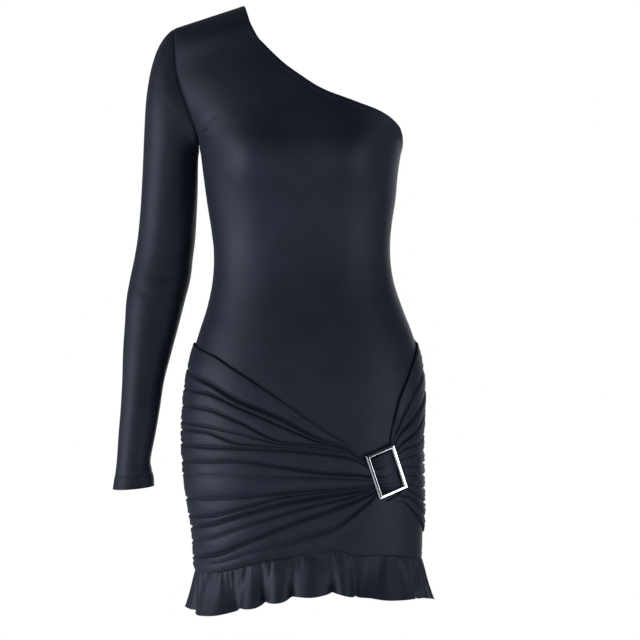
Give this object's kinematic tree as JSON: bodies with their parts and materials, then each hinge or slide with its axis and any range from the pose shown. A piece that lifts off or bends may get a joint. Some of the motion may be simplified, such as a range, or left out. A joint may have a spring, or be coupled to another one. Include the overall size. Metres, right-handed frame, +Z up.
{
  "type": "one-shoulder dress",
  "caption": "One-shoulder mini dress in dark navy stretch jersey with one long sleeve, a ruched wrap drawn through a polished rectangular buckle at the hip, and a ruffled hem.",
  "frame": {"origin": "where the wearer's shoulder holds the dress: the middle of the shoulder seam, on its inner face", "axes": "+Z up the worn dress, -Y out of its front, +X towards the wearer's left, away from the sleeve"},
  "size_m": [0.4277, 0.238, 0.8032],
  "materials": {
    "jersey": "satin",
    "chrome": "polished"
  },
  "bodies": {
    "root": {"front_panel": "jersey", "back_panel": "jersey", "sleeve": "jersey", "wide_wrap": "jersey", "narrow_wrap": "jersey", "ruffle_front": "jersey", "ruffle_back": "jersey", "buckle": "chrome"}
  },
  "joints": []
}
